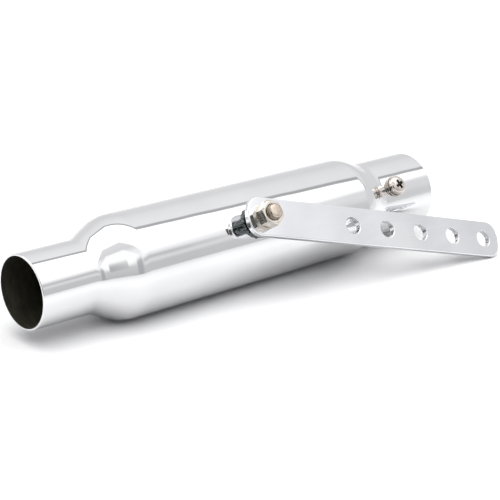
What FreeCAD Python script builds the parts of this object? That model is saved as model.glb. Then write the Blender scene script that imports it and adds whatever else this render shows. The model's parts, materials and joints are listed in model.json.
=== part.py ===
import FreeCAD, Part
import math
import os

# Straight-through exhaust muffler with necked ends, a removable baffle and a drilled hanger bracket.
# Frame: millimetres.  Origin at the centre of the inlet mouth.  +X runs along the muffler to the
# outlet, +Z is up with the muffler lying at rest on its shell and on the low corner of its bracket.

V = FreeCAD.Vector

# ---------------------------------------------------------------- driving dimensions (mm)
BODY_D = 63.5            # shell outside diameter
WALL = 1.2               # tube wall
LENGTH = 315.5           # inlet mouth to outlet mouth
INLET_OD = 44.1          # inlet neck outside; bore 41.7 slips over a 41.3 (1 5/8 in) header pipe
OUTLET_OD = 50.9         # outlet neck outside

X_CORNER_A = 41.0        # neck / cone corner, inlet end
ANG_A = 26.5             # cone half angle, inlet end
R_NECK_A, R_BODY_A = 18.0, 30.0
X_CORNER_B = 251.8       # body / cone corner, outlet end
ANG_B = 22.5
R_BODY_B, R_NECK_B = 24.0, 22.0
SEAM_A = 72.0            # inlet cone / shell butt seam
SEAM_B = 243.0           # shell / outlet cone butt seam

STUD_X = 150.0           # bracket stud station
STUD_ELEV = 34.4         # stud direction above the horizontal, on the -Y side
BOSS_D = 16.0
FACE_H = 43.0            # strap outer face to muffler axis
STRAP_T = 4.0
STRAP_W = 24.4
HOLE_D = 11.0
HOLE_1 = 68.6            # pivot to first hole
HOLE_PITCH = 28.5
HOLE_N = 5
END_FREE, END_PIVOT = 14.0, 12.5  # strap ends beyond the last hole and beyond the pivot
END_R, CORNER_R = 19.0, 9.0       # crown of each end, and its corners
EDGE_R = 0.8             # rolled edge of the strap
PIVOT_HOLE_D = 10.5
STUD_D = 9.86            # M10 thread crest
STUD_OUT = 11.7          # stud end beyond the strap face
SPRING_OD, SPRING_T = 16.4, 1.2
NUT_AF, NUT_H, NUT_BORE = 14.5, 7.3, 10.0
NUT_ROT = -8.0           # hexagon turn about the stud

SCREW_X = 280.5
SCREW_D = 5.9            # M6 thread crest
SCREW_TIP_R = 16.3       # radius at which the screw tip ends, just off the baffle tube
HEAD_D, HEAD_H = 12.6, 3.5
SW_OD, SW_T = 13.6, 1.0
SS_OD, SS_T = 10.8, 1.3
SCREW_SEAT_R = OUTLET_OD / 2 + 0.15

CORE_ID, CORE_WALL = 42.0, 1.0
CORE_X0, CORE_X1 = 74.0, 241.0
BAFFLE_OD, BAFFLE_WALL = 31.8, 1.2
BAFFLE_X0, BAFFLE_X1 = 92.0, 311.0
COLLAR_X0, COLLAR_X1 = 272.5, 311.5
COLLAR_GAP = 0.35
KEYWAY_W = 13.0
PERF_D = 4.0

RB = BODY_D / 2
FLOOR_Z = -RB
X = V(1, 0, 0)


# ---------------------------------------------------------------- helpers
def fillet_path(pts, radii):
    """Edges of an open polyline in the XZ plane whose inner corners are rounded by tangent arcs."""
    edges = []
    cur = V(pts[0][0], 0, pts[0][1])
    for i in range(1, len(pts) - 1):
        p = V(pts[i][0], 0, pts[i][1])
        a = V(pts[i - 1][0], 0, pts[i - 1][1]) - p
        b = V(pts[i + 1][0], 0, pts[i + 1][1]) - p
        a.normalize()
        b.normalize()
        r = radii[i - 1]
        half = a.getAngle(b) / 2
        if r <= 0:
            edges.append(Part.LineSegment(cur, p).toShape())
            cur = p
            continue
        t = r / math.tan(half)
        s, e = p + a * t, p + b * t
        bis = a + b
        bis.normalize()
        c = p + bis * (r / math.sin(half))
        m = c - bis * r
        if (s - cur).Length > 1e-6:
            edges.append(Part.LineSegment(cur, s).toShape())
        edges.append(Part.Arc(s, m, e).toShape())
        cur = e
    last = V(pts[-1][0], 0, pts[-1][1])
    if (last - cur).Length > 1e-6:
        edges.append(Part.LineSegment(cur, last).toShape())
    return edges


def revolve(edges):
    face = Part.Face(Part.Wire(edges))
    return face.revolve(V(0, 0, 0), X, 360)


def closed(pts, radii):
    """Revolved solid from a closed polyline, starting in the middle of its first side."""
    mid = ((pts[0][0] + pts[-1][0]) / 2, (pts[0][1] + pts[-1][1]) / 2)
    return revolve(fillet_path([mid] + pts + [mid], radii))


def tube(x0, x1, ro, ri, rnd=0.0):
    pts = [(x0, ro), (x1, ro), (x1, ri), (x0, ri)]
    return closed(pts, [rnd] * 4)


def cyl(p, d, r, h):
    return Part.makeCylinder(r, h, p, d)


def ring(p, d, ro, ri, h):
    return cyl(p, d, ro, h).cut(cyl(p - d * 1.0, d, ri, h + 2.0))


def chamfer_edges(shape, test, size):
    es = [e for e in shape.Edges if test(e)]
    return shape.makeChamfer(size, es) if es else shape


def save(name, shape):
    if not shape.isValid():
        raise RuntimeError(name + " is not valid")
    shape.exportStep("parts/%s.step" % name)
    print("%-24s vol %10.1f  solids %d" % (name, shape.Volume, len(shape.Solids)))
    return shape


os.makedirs("parts", exist_ok=True)

# ---------------------------------------------------------------- directions of stud and strap
el = math.radians(STUD_ELEV)
N = V(0, -math.cos(el), math.sin(el))            # out along the stud
B = N.cross(X)                                   # in the strap plane, across the muffler axis
if B.z < 0:
    B = B * -1.0
STRAP_LEN = HOLE_1 + HOLE_PITCH * (HOLE_N - 1)   # pivot to last hole
PIVOT = V(STUD_X, 0, 0) + N * FACE_H             # on the strap's outer face


# centre of a corner arc, back from the end's crown
CORNER_BACK = END_R - math.sqrt((END_R - CORNER_R) ** 2 - (STRAP_W / 2 - CORNER_R) ** 2)


def strap_low(psi):
    s = X * math.cos(psi) - B * math.sin(psi)
    w = N.cross(s)
    if w.z > 0:
        w = w * -1.0
    c = PIVOT + s * (STRAP_LEN + END_FREE - CORNER_BACK) + w * (STRAP_W / 2 - CORNER_R)
    return c.z - (STRAP_T - EDGE_R) * N.z - (CORNER_R - EDGE_R) * math.sqrt(1 - N.z ** 2) - EDGE_R


lo, hi = 0.0, math.radians(60)
for _ in range(60):
    mid = (lo + hi) / 2
    if strap_low(mid) > FLOOR_Z:
        lo = mid
    else:
        hi = mid
PSI = (lo + hi) / 2
S = X * math.cos(PSI) - B * math.sin(PSI)        # along the strap, pivot to free end
W = N.cross(S)
print("strap angle to axis %.3f deg" % math.degrees(PSI))
print("N", N, "S", S, "W", W)
print("pivot", PIVOT)


def place(shape, origin, zdir, xdir):
    """Moves a shape modelled at the origin with +Z out so that +Z lies on zdir and +X on xdir."""
    y = zdir.cross(xdir)
    m = FreeCAD.Matrix(xdir.x, y.x, zdir.x, origin.x,
                       xdir.y, y.y, zdir.y, origin.y,
                       xdir.z, y.z, zdir.z, origin.z,
                       0, 0, 0, 1)
    s = shape.copy()
    s.Placement = FreeCAD.Placement(m)
    return s


# ---------------------------------------------------------------- outer skin
rA, rC = INLET_OD / 2, OUTLET_OD / 2
ta, tb = math.radians(ANG_A), math.radians(ANG_B)
x2a = X_CORNER_A + (RB - rA) / math.tan(ta)      # cone / body corner, inlet end
x2b = X_CORNER_B + (RB - rC) / math.tan(tb)      # cone / neck corner, outlet end


ka, kb = WALL * math.tan(ta / 2), WALL * math.tan(tb / 2)
pts = [(20, rA), (X_CORNER_A, rA), (x2a, RB), (SEAM_A, RB), (SEAM_A, RB - WALL),
       (x2a + ka, RB - WALL), (X_CORNER_A + ka, rA - WALL), (0, rA - WALL), (0, rA), (20, rA)]
inlet_cone = revolve(fillet_path(pts, [R_NECK_A, R_BODY_A, 0, 0, R_BODY_A - WALL, R_NECK_A + WALL, 0, 0.6]))
pts = [(300, rC), (LENGTH, rC), (LENGTH, rC - WALL), (x2b - kb, rC - WALL), (X_CORNER_B - kb, RB - WALL),
       (SEAM_B, RB - WALL), (SEAM_B, RB), (X_CORNER_B, RB), (x2b, rC), (300, rC)]
outlet_cone = revolve(fillet_path(pts, [0.45, 0.45, R_NECK_B + WALL, R_BODY_B - WALL, 0, 0, R_BODY_B, R_NECK_B]))
# hole for the baffle retaining screw
outlet_cone = outlet_cone.cut(cyl(V(SCREW_X, 0, 0) + N * 15, N, 3.3, 20))

body_shell = tube(SEAM_A + 0.02, SEAM_B - 0.02, RB, RB - WALL)
# hole that the stud's root is plug-welded into
body_shell = body_shell.cut(cyl(V(STUD_X, 0, 0) + N * 20, N, STUD_D / 2 + 0.05, 20))

save("inlet_cone", inlet_cone)
save("body_shell", body_shell)
save("outlet_cone", outlet_cone)


def seam(xc):
    """Root bead of a butt weld: a low crowned ring inside the joint."""
    ri = RB - WALL - 0.02
    w, h = 1.6, 0.5
    arc = Part.Arc(V(xc - w, 0, ri), V(xc, 0, ri - h), V(xc + w, 0, ri)).toShape()
    line = Part.LineSegment(V(xc + w, 0, ri), V(xc - w, 0, ri)).toShape()
    return revolve([arc, line])


save("inlet_seam_weld", seam(SEAM_A))
save("outlet_seam_weld", seam(SEAM_B))

# ---------------------------------------------------------------- packed core between the cones
rci = CORE_ID / 2
rco = rci + CORE_WALL
core = tube(CORE_X0, CORE_X1, rco, rci)
drills = []
for i in range(11):
    for j in range(6):
        a = math.radians(j * 30 + (15 if i % 2 else 0))
        d = V(0, math.cos(a), math.sin(a))
        x = CORE_X0 + 14 + i * 13.9
        drills.append(cyl(V(x, 0, 0) - d * 30, d, PERF_D / 2, 60))
core = core.cut(Part.makeCompound(drills))
save("core_tube", core)
r_in_skin = RB - WALL
for name, x0 in (("core_front_ring", CORE_X0 + 1.0), ("core_rear_ring", CORE_X1 - 3.0)):
    flange = closed([(x0, r_in_skin - 0.75), (x0 + 2.0, r_in_skin - 0.75), (x0 + 2.0, rco + 0.05), (x0, rco + 0.05)], [0.5, 0.5, 0.3, 0.3])
    save(name, flange)
pack = tube(CORE_X0 + 3.6, CORE_X1 - 3.6, r_in_skin - 0.9, rco + 0.3, 1.0)
stud_root_r = RB - WALL - 2.0
pack = pack.cut(cyl(V(STUD_X, 0, 0) + N * (stud_root_r - 0.5), N, STUD_D / 2 + 0.8, 10))
save("glass_packing", pack)

# ---------------------------------------------------------------- removable baffle
rbo = BAFFLE_OD / 2
rbi = rbo - BAFFLE_WALL
btube = tube(BAFFLE_X0, BAFFLE_X1, rbo, rbi)
drills = []
for i in range(12):
    for j in range(5):
        a = math.radians(j * 36 + (18 if i % 2 else 0))
        d = V(0, math.cos(a), math.sin(a))
        x = BAFFLE_X0 + 14 + i * 12.6
        drills.append(cyl(V(x, 0, 0) - d * 30, d, PERF_D / 2, 60))
btube = btube.cut(Part.makeCompound(drills))
save("baffle_tube", btube)

# domed nose cap closing the inner end, its spigot pressed into the tube
nose = closed([(BAFFLE_X0 - 13, 0.0), (BAFFLE_X0 - 9, rbo), (BAFFLE_X0 - 0.02, rbo), (BAFFLE_X0 - 0.02, rbi - 0.05), (BAFFLE_X0 + 7, rbi - 0.05),
               (BAFFLE_X0 + 7, rbi - 1.3), (BAFFLE_X0 - 7.8, rbi - 1.3), (BAFFLE_X0 - 11.8, 0.0)],
              [0, 9.0, 0, 0, 0, 0, 7.5, 0])
save("baffle_nose_cap", nose)

# open ring with three lobes that centres the nose in the core tube; its gap passes the screw tip
xr = BAFFLE_X0 + 2.0
spider = ring(V(xr, 0, 0), X, rbo + 2.2, rbo + 0.05, 3.0)
na = math.degrees(math.atan2(N.z, N.y))
for k in range(3):
    a = math.radians(na + 60 + 120 * k)
    d = V(0, math.cos(a), math.sin(a))
    lobe = Part.makeBox(3.0, 8.0, rci - 0.4 - (rbo + 1.2), V(0, -4.0, rbo + 1.2))
    y = d.cross(X)
    m = FreeCAD.Matrix(1, 0, 0, xr, 0, y.y, d.y, 0, 0, y.z, d.z, 0, 0, 0, 0, 1)
    lobe.Placement = FreeCAD.Placement(m)
    spider = spider.fuse(lobe)
spider = spider.common(cyl(V(xr - 1, 0, 0), X, rci - 0.4, 6)).removeSplitter()
gap = Part.makeBox(8.0, 9.0, 12.0, V(xr - 2.5, -4.5, rbo - 6.0))
y = N.cross(X)
gap.Placement = FreeCAD.Placement(FreeCAD.Matrix(1, 0, 0, 0, 0, y.y, N.y, 0, 0, y.z, N.z, 0, 0, 0, 0, 1))
spider = spider.cut(gap)
save("baffle_centring_ring", spider)

# dished plug half way along the tube
xp = 205.0
plug = closed([(xp, 0.0), (xp - 4.0, rbi - 0.05), (xp + 4.0, rbi - 0.05), (xp + 4.0, rbi - 1.2), (xp - 1.0, rbi - 1.2), (xp + 1.4, 0.0)],
              [0, 1.0, 0, 0, 3.0, 0])
save("baffle_plug", plug)

# collar: outer ring that fits the outlet neck, a rolled mouth and a web down to the tube
rko = OUTLET_OD / 2 - WALL - COLLAR_GAP
collar = closed([(COLLAR_X0, rko), (COLLAR_X1, rko), (COLLAR_X1, rbo + 0.05), (COLLAR_X1 - 3.0, rbo + 0.05),
                 (COLLAR_X1 - 3.0, rbo + 1.4), (COLLAR_X1 - 2.6, rko - 1.4), (COLLAR_X0, rko - 1.4)],
                [0.4, 3.0, 0.3, 0.3, 0.5, 1.6, 0.4])
# keyway, open at the inner end, that passes the weld nut
box = Part.makeBox(SCREW_X + KEYWAY_W / 2 - (COLLAR_X0 - 2), KEYWAY_W, 12, V(COLLAR_X0 - 2, -KEYWAY_W / 2, rko - 8))
y = N.cross(X)
m = FreeCAD.Matrix(1, 0, 0, 0, 0, y.y, N.y, 0, 0, y.z, N.z, 0, 0, 0, 0, 1)
box.Placement = FreeCAD.Placement(m)
collar = collar.cut(box)
save("baffle_collar", collar)

# ---------------------------------------------------------------- retaining screw and its stack
c = V(SCREW_X, 0, 0)
neck_ri = OUTLET_OD / 2 - WALL
hexa = []
for k in range(6):
    a = math.radians(60 * k)
    hexa.append(V(5.77 * math.cos(a), 5.77 * math.sin(a), 0))
wn = Part.Face(Part.makePolygon(hexa + [hexa[0]])).extrude(V(0, 0, 6.0))
wn = wn.cut(Part.makeCylinder(SCREW_D / 2 + 0.06, 10, V(0, 0, -1)))
wn = place(wn, c + N * 19.6, N, X)
wn = wn.common(cyl(V(SCREW_X - 20, 0, 0), X, neck_ri - 0.03, 40))
save("screw_weld_nut", wn)

flat = ring(c + N * SCREW_SEAT_R, N, SW_OD / 2, 3.2, SW_T)
save("screw_flat_washer", flat)


def split_ring(p, d, ro, ri, h, ang):
    r = ring(p, d, ro, ri, h)
    cutter = Part.makeBox(ro + 2, 1.2, h + 2, V(0, -0.6, -1))
    cutter.rotate(V(0, 0, 0), V(1, 0, 0), 25)
    cutter.rotate(V(0, 0, 0), V(0, 0, 1), ang)
    return r.cut(place(cutter, p, d, X))


save("screw_spring_washer", split_ring(c + N * (SCREW_SEAT_R + SW_T), N, SS_OD / 2, 3.2, SS_T, 200))

seat = SCREW_SEAT_R + SW_T + SS_T
h_edges = [Part.LineSegment(V(0, 0, 0), V(HEAD_D / 2, 0, 0)).toShape(),
           Part.LineSegment(V(HEAD_D / 2, 0, 0), V(HEAD_D / 2, 0, 0.9)).toShape(),
           Part.Arc(V(HEAD_D / 2, 0, 0.9), V(HEAD_D / 2 * 0.80, 0, 2.55), V(HEAD_D / 2 * 0.35, 0, 3.37)).toShape(),
           Part.LineSegment(V(HEAD_D / 2 * 0.35, 0, 3.37), V(0, 0, HEAD_H)).toShape(),
           Part.LineSegment(V(0, 0, HEAD_H), V(0, 0, 0)).toShape()]
head = Part.Face(Part.Wire(h_edges)).revolve(V(0, 0, 0), V(0, 0, 1), 360)
for k in range(2):
    slot = Part.makeBox(6.4, 1.5, 3.0, V(-3.2, -0.75, HEAD_H - 2.1))
    slot.rotate(V(0, 0, 0), V(0, 0, 1), 90 * k + 20)
    head = head.cut(slot)
shank_len = seat - SCREW_TIP_R
shank = Part.makeCylinder(SCREW_D / 2, shank_len, V(0, 0, -shank_len))
shank = chamfer_edges(shank, lambda e: abs(e.BoundBox.ZMax + shank_len) < 1e-6, 0.7)
screw = head.fuse(shank).removeSplitter()
save("retaining_screw", place(screw, c + N * seat, N, X))

# ---------------------------------------------------------------- bracket stud, boss and weld
c = V(STUD_X, 0, 0)
boss_top = FACE_H - STRAP_T
boss = cyl(c + N * 20, N, BOSS_D / 2, boss_top - 20).cut(cyl(c + N * 10, N, STUD_D / 2 + 0.04, 40))
boss = chamfer_edges(boss, lambda e: abs((e.CenterOfMass - c).dot(N) - boss_top) < 1e-6 and e.Length > 45, 0.6)
boss = boss.cut(cyl(V(STUD_X - 20, 0, 0), X, RB + 0.02, 40))
save("mount_boss", boss)

# fillet weld bead that follows the saddle between boss and shell
bead_h, bead_w = 2.2, 2.4
bead = cyl(c + N * 20, N, BOSS_D / 2 + bead_w, 20).cut(cyl(c + N * 10, N, BOSS_D / 2 + 0.03, 40))
skin = cyl(V(STUD_X - 20, 0, 0), X, RB + 0.9, 40).cut(cyl(V(STUD_X - 21, 0, 0), X, RB + 0.03, 42))
skin2 = cyl(V(STUD_X - 20, 0, 0), X, RB + 1.8, 40).cut(cyl(V(STUD_X - 21, 0, 0), X, RB + 0.03, 42))
bead2 = cyl(c + N * 20, N, BOSS_D / 2 + 1.2, 20).cut(cyl(c + N * 10, N, BOSS_D / 2 + 0.03, 40))
weld = bead.common(skin).fuse(bead2.common(skin2)).removeSplitter()
save("boss_weld", weld)

stud_len = FACE_H + STUD_OUT - stud_root_r
stud = Part.makeCylinder(STUD_D / 2, stud_len)
stud = stud.makeFillet(1.5, [e for e in stud.Edges if abs(e.BoundBox.ZMin - stud_len) < 1e-6])
save("mount_stud", place(stud, c + N * stud_root_r, N, X))

# ---------------------------------------------------------------- bracket strap
hw = STRAP_W / 2
fi = math.asin((hw - CORNER_R) / (END_R - CORNER_R))     # where crown and corner arcs meet


def end_arcs(tip, sign):
    """Lower corner, crown and upper corner of an end, from the -Y side for sign 1 and the +Y side for -1."""
    cc = tip - CORNER_BACK

    def on_corner(a, side):
        return V(sign * (cc + CORNER_R * math.cos(a)), sign * side * (hw - CORNER_R + CORNER_R * math.sin(a)), 0)

    q = [on_corner(math.pi / 2, -1), on_corner((math.pi / 2 + fi) / 2, -1), on_corner(fi, -1), V(sign * tip, 0, 0),
         on_corner(fi, 1), on_corner((math.pi / 2 + fi) / 2, 1), on_corner(math.pi / 2, 1)]
    return q


qa = end_arcs(STRAP_LEN + END_FREE, 1)
qb = end_arcs(END_PIVOT, -1)
outline = []
for q in (qa, qb):
    for i in (0, 2, 4):
        outline.append(Part.Arc(q[i], q[i + 1], q[i + 2]).toShape())
outline.insert(3, Part.LineSegment(qa[6], qb[0]).toShape())
outline.append(Part.LineSegment(qb[6], qa[0]).toShape())
wire = Part.Wire(outline)
strap = Part.Face(wire).extrude(V(0, 0, -STRAP_T))
strap = strap.makeFillet(EDGE_R, [e for e in strap.Edges if abs(e.BoundBox.ZMax - e.BoundBox.ZMin) < 1e-6])
holes = [Part.makeCylinder(PIVOT_HOLE_D / 2, STRAP_T + 4, V(0, 0, -STRAP_T - 2))]
for i in range(HOLE_N):
    holes.append(Part.makeCylinder(HOLE_D / 2, STRAP_T + 4, V(HOLE_1 + HOLE_PITCH * i, 0, -STRAP_T - 2)))
strap = strap.cut(Part.makeCompound(holes))
rims = [e for e in strap.Edges if abs(e.BoundBox.ZMax - e.BoundBox.ZMin) < 1e-6
        and hasattr(e.Curve, "Radius") and abs(e.Curve.Radius - HOLE_D / 2) < 1e-6]
strap = strap.makeChamfer(0.15, rims)
save("bracket_strap", place(strap, PIVOT, N, S))
for i in range(HOLE_N):
    h = PIVOT + S * (HOLE_1 + HOLE_PITCH * i) - N * (STRAP_T / 2)
    print("hole %d centre %.4f %.4f %.4f" % (i + 1, h.x, h.y, h.z))
sb = place(strap, PIVOT, N, S).BoundBox
print("strap low z", sb.ZMin, "floor", FLOOR_Z)

# ---------------------------------------------------------------- bracket washers and nut
save("bracket_spring_washer", split_ring(PIVOT, N, SPRING_OD / 2, 5.2, SPRING_T, 100))
nut_z = SPRING_T
rc = NUT_AF / math.sqrt(3)
hexa = []
for k in range(6):
    a = math.radians(NUT_ROT + 60 * k)
    hexa.append(V(rc * math.cos(a), rc * math.sin(a), 0))
nut = Part.Face(Part.makePolygon(hexa + [hexa[0]])).extrude(V(0, 0, NUT_H))
cone_h = 0.55
dome = Part.makeCone(NUT_AF / 2 * 0.97, NUT_AF / 2 * 0.97 + 1.9, 1.9 * math.tan(math.radians(30)), V(0, 0, 0), V(0, 0, 1))
mid_c = Part.makeCylinder(NUT_AF / 2 * 0.97 + 1.9, NUT_H - 2 * 1.9 * math.tan(math.radians(30)), V(0, 0, 1.9 * math.tan(math.radians(30))))
dome2 = Part.makeCone(NUT_AF / 2 * 0.97 + 1.9, NUT_AF / 2 * 0.97, 1.9 * math.tan(math.radians(30)), V(0, 0, NUT_H - 1.9 * math.tan(math.radians(30))), V(0, 0, 1))
nut = nut.common(dome.fuse(mid_c).fuse(dome2).removeSplitter())
nut = nut.cut(Part.makeCylinder(NUT_BORE / 2, NUT_H + 4, V(0, 0, -2)))
save("bracket_nut", place(nut, PIVOT + N * nut_z, N, S))
print("nut top", nut_z + NUT_H, "stud end", STUD_OUT)
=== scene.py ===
import json
import math

import bmesh
import bpy
import numpy as np
from mathutils import Matrix, Vector
from mathutils.geometry import tessellate_polygon


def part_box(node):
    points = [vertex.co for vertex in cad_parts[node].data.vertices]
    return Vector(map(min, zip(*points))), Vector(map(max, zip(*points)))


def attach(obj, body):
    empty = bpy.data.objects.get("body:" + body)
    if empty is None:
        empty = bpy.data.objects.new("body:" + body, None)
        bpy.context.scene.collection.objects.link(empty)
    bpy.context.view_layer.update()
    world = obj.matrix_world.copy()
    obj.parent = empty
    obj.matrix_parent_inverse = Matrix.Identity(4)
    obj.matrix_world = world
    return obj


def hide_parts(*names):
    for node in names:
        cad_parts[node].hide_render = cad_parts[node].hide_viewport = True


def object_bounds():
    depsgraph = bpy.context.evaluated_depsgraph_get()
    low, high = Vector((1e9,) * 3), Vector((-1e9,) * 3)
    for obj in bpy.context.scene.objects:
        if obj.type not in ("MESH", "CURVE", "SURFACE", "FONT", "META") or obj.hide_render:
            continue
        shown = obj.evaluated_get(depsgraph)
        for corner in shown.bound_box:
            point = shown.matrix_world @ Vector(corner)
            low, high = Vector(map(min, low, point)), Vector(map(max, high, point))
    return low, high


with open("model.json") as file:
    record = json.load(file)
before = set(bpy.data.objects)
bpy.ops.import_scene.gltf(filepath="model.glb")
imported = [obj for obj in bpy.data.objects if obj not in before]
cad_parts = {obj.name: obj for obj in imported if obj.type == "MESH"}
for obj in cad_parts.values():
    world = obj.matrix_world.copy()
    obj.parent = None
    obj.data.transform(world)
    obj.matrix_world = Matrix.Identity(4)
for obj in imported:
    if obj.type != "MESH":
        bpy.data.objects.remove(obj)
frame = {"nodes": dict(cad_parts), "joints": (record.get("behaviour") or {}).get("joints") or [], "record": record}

# Chromed exhaust muffler with a drilled hanger strap.  Everything is in the row frame; lengths below
# are millimetres until a mesh is made, and MM turns them into metres.
MM = 0.001
cad_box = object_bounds()
record = frame["record"]
nodes = frame["nodes"]
joints = {j["name"]: j for j in frame["joints"]}
mounts = {m["name"]: m for m in record["mounts"]}
scene = bpy.context.scene


def unit(v):
    v = np.array(v, float)
    return v / np.linalg.norm(v)


def box(node):
    lo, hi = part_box(node)
    return np.array(lo) / MM, np.array(hi) / MM


# ------------------------------------------------------------------ places taken from the frame
X = np.array([1.0, 0.0, 0.0])
N = unit(joints["bracket_swivel"]["axis"])                 # out along the stud
PIV = np.array(joints["bracket_swivel"]["pos_m"]) / MM     # stud axis on the strap's outer face
H1 = np.array(mounts["strap_hole_1"]["pos_m"]) / MM
H5 = np.array(mounts["strap_hole_5"]["pos_m"]) / MM
S = unit(H5 - H1)                                          # along the strap
SCREW = np.array(joints["retaining_screw_turn"]["pos_m"]) / MM
RB = box("body_shell")[1][2]
WALL = 1.2
R_IN = mounts["inlet"]["dims"]["r_mm"] + WALL
LEN = box("outlet_cone")[1][0]
FLOOR = cad_box[0].z
R_OUT = 25.45
SEAM_A, SEAM_B = box("inlet_cone")[1][0], box("outlet_cone")[0][0]
FACE_H = float(np.dot(PIV, N))
STRAP_T, STRAP_W = 4.0, 24.4


def place(origin, z, x):
    z, x = unit(z), unit(x)
    y = np.cross(z, x)
    m = Matrix(((x[0], y[0], z[0], origin[0]), (x[1], y[1], z[1], origin[1]), (x[2], y[2], z[2], origin[2]), (0, 0, 0, 1)))
    return m


ROW = Matrix.Identity(4)
AT_STUD = place(PIV, N, S)                                 # local Z out along the stud, X along the strap
AT_BOSS = place(np.array([PIV[0], 0, 0]), N, X)
AT_SCREW = place(SCREW, N, X)


# ------------------------------------------------------------------ node materials
class Tree:
    def __init__(self, name):
        self.mat = bpy.data.materials.new(name)
        self.mat.use_nodes = True
        self.nt = self.mat.node_tree
        self.bsdf = next(n for n in self.nt.nodes if n.type == "BSDF_PRINCIPLED")
        self.co = self.node("ShaderNodeTexCoord").outputs["Object"]

    def node(self, kind, **props):
        n = self.nt.nodes.new(kind)
        for k, v in props.items():
            setattr(n, k, v)
        return n

    def link(self, a, b):
        self.nt.links.new(a, b)

    def scaled(self, scale, turn=(0, 0, 0)):
        m = self.node("ShaderNodeMapping")
        m.inputs["Scale"].default_value = scale
        m.inputs["Rotation"].default_value = turn
        self.link(self.co, m.inputs["Vector"])
        return m.outputs["Vector"]

    def noise(self, scale, detail=3.0, rough=0.55, vec=None, distort=0.0):
        n = self.node("ShaderNodeTexNoise")
        n.inputs["Scale"].default_value = scale
        n.inputs["Detail"].default_value = detail
        n.inputs["Roughness"].default_value = rough
        n.inputs["Distortion"].default_value = distort
        self.link(vec if vec is not None else self.co, n.inputs["Vector"])
        return n.outputs["Fac"]

    def cells(self, scale, vec=None, feature="F1"):
        n = self.node("ShaderNodeTexVoronoi", feature=feature)
        n.inputs["Scale"].default_value = scale
        self.link(vec if vec is not None else self.co, n.inputs["Vector"])
        return n.outputs["Distance"]

    def ramp(self, fac, stops, interp="LINEAR"):
        r = self.node("ShaderNodeValToRGB")
        r.color_ramp.interpolation = interp
        el = r.color_ramp.elements
        while len(el) > 1:
            el.remove(el[-1])
        el[0].position, el[0].color = stops[0][0], (*stops[0][1], 1) if hasattr(stops[0][1], "__len__") else (stops[0][1],) * 3 + (1,)
        for p, c in stops[1:]:
            e = el.new(p)
            e.color = (*c, 1) if hasattr(c, "__len__") else (c, c, c, 1)
        self.link(fac, r.inputs["Fac"])
        return r.outputs["Color"]

    def span(self, fac, lo, hi, a=0.0, b=1.0):
        m = self.node("ShaderNodeMapRange", clamp=True)
        for k, v in (("From Min", lo), ("From Max", hi), ("To Min", a), ("To Max", b)):
            m.inputs[k].default_value = v
        self.link(fac, m.inputs["Value"])
        return m.outputs["Result"]

    def math(self, op, a, b=None, c=None, clamp=False):
        m = self.node("ShaderNodeMath", operation=op, use_clamp=clamp)
        for i, v in enumerate((a, b, c)):
            if v is None:
                continue
            if isinstance(v, (int, float)):
                m.inputs[i].default_value = v
            else:
                self.link(v, m.inputs[i])
        return m.outputs["Value"]

    def mix(self, fac, a, b, mode="MIX"):
        m = self.node("ShaderNodeMix", data_type="RGBA", blend_type=mode)
        for name, v in (("Factor", fac), ("A", a), ("B", b)):
            s = next(i for i in m.inputs if i.name == name and i.type == ("VALUE" if name == "Factor" else "RGBA"))
            if isinstance(v, (int, float)):
                s.default_value = v
            elif hasattr(v, "__len__"):
                s.default_value = (*v, 1)
            else:
                self.link(v, s)
        return next(o for o in m.outputs if o.type == "RGBA")

    def bump(self, height, strength, distance, under=None):
        b = self.node("ShaderNodeBump")
        b.inputs["Strength"].default_value = strength
        b.inputs["Distance"].default_value = distance
        self.link(height, b.inputs["Height"])
        if under is not None:
            self.link(under, b.inputs["Normal"])
        return b.outputs["Normal"]

    def set(self, **v):
        names = {"color": "Base Color", "metal": "Metallic", "rough": "Roughness", "normal": "Normal", "ior": "IOR",
                 "spec": "Specular IOR Level", "sheen": "Sheen Weight", "sheen_rough": "Sheen Roughness", "aniso": "Anisotropic"}
        for k, x in v.items():
            s = self.bsdf.inputs[names[k]]
            if isinstance(x, (int, float)):
                s.default_value = x
            elif isinstance(x, tuple):
                s.default_value = (*x, 1) if len(x) == 3 else x
            else:
                self.link(x, s)
        return self.mat


def chrome_plate(name, lo, hi, rough, wave, peel, haze=1.0, dark=None):
    """Plated steel: slow tint drift, faint wipe haze, a few pits, and the slight waviness of polished tube."""
    t = Tree(name)
    drift = t.noise(22, 2.0)
    tint = t.ramp(drift, [(0.36, lo), (0.64, hi)])
    wipe = t.noise(9, 4.0, 0.62, t.scaled((6, 34, 34), (0.35, 0.1, 0.0)))
    pits = t.span(t.cells(260), 0.0, 0.055, 1.0, 0.0)
    keep = t.span(t.noise(70, 1.0), 0.60, 0.66)
    pits = t.math("MULTIPLY", pits, keep)
    col = t.mix(t.math("MULTIPLY", pits, 0.55), tint, (0.30, 0.29, 0.28))
    # dark: blotches of a darker colour mixed in; on the boss and its weld bead this is painted shade
    if dark is not None:
        col = t.mix(t.span(t.noise(160, 3.0), 0.52, 0.66, 0.0, 0.6), col, dark)
    r = t.span(wipe, 0.42, 0.72, rough * 0.55, rough * (1.0 + 0.9 * haze))
    r = t.math("ADD", r, t.math("MULTIPLY", pits, 0.25))
    slow = t.noise(26, 1.0, 0.4)
    fine = t.noise(1400, 2.0, 0.5)
    n = t.bump(slow, wave, 0.0016)
    n = t.bump(fine, peel, 0.00003, n)
    return t.set(color=col, metal=1.0, rough=r, normal=n)


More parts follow.
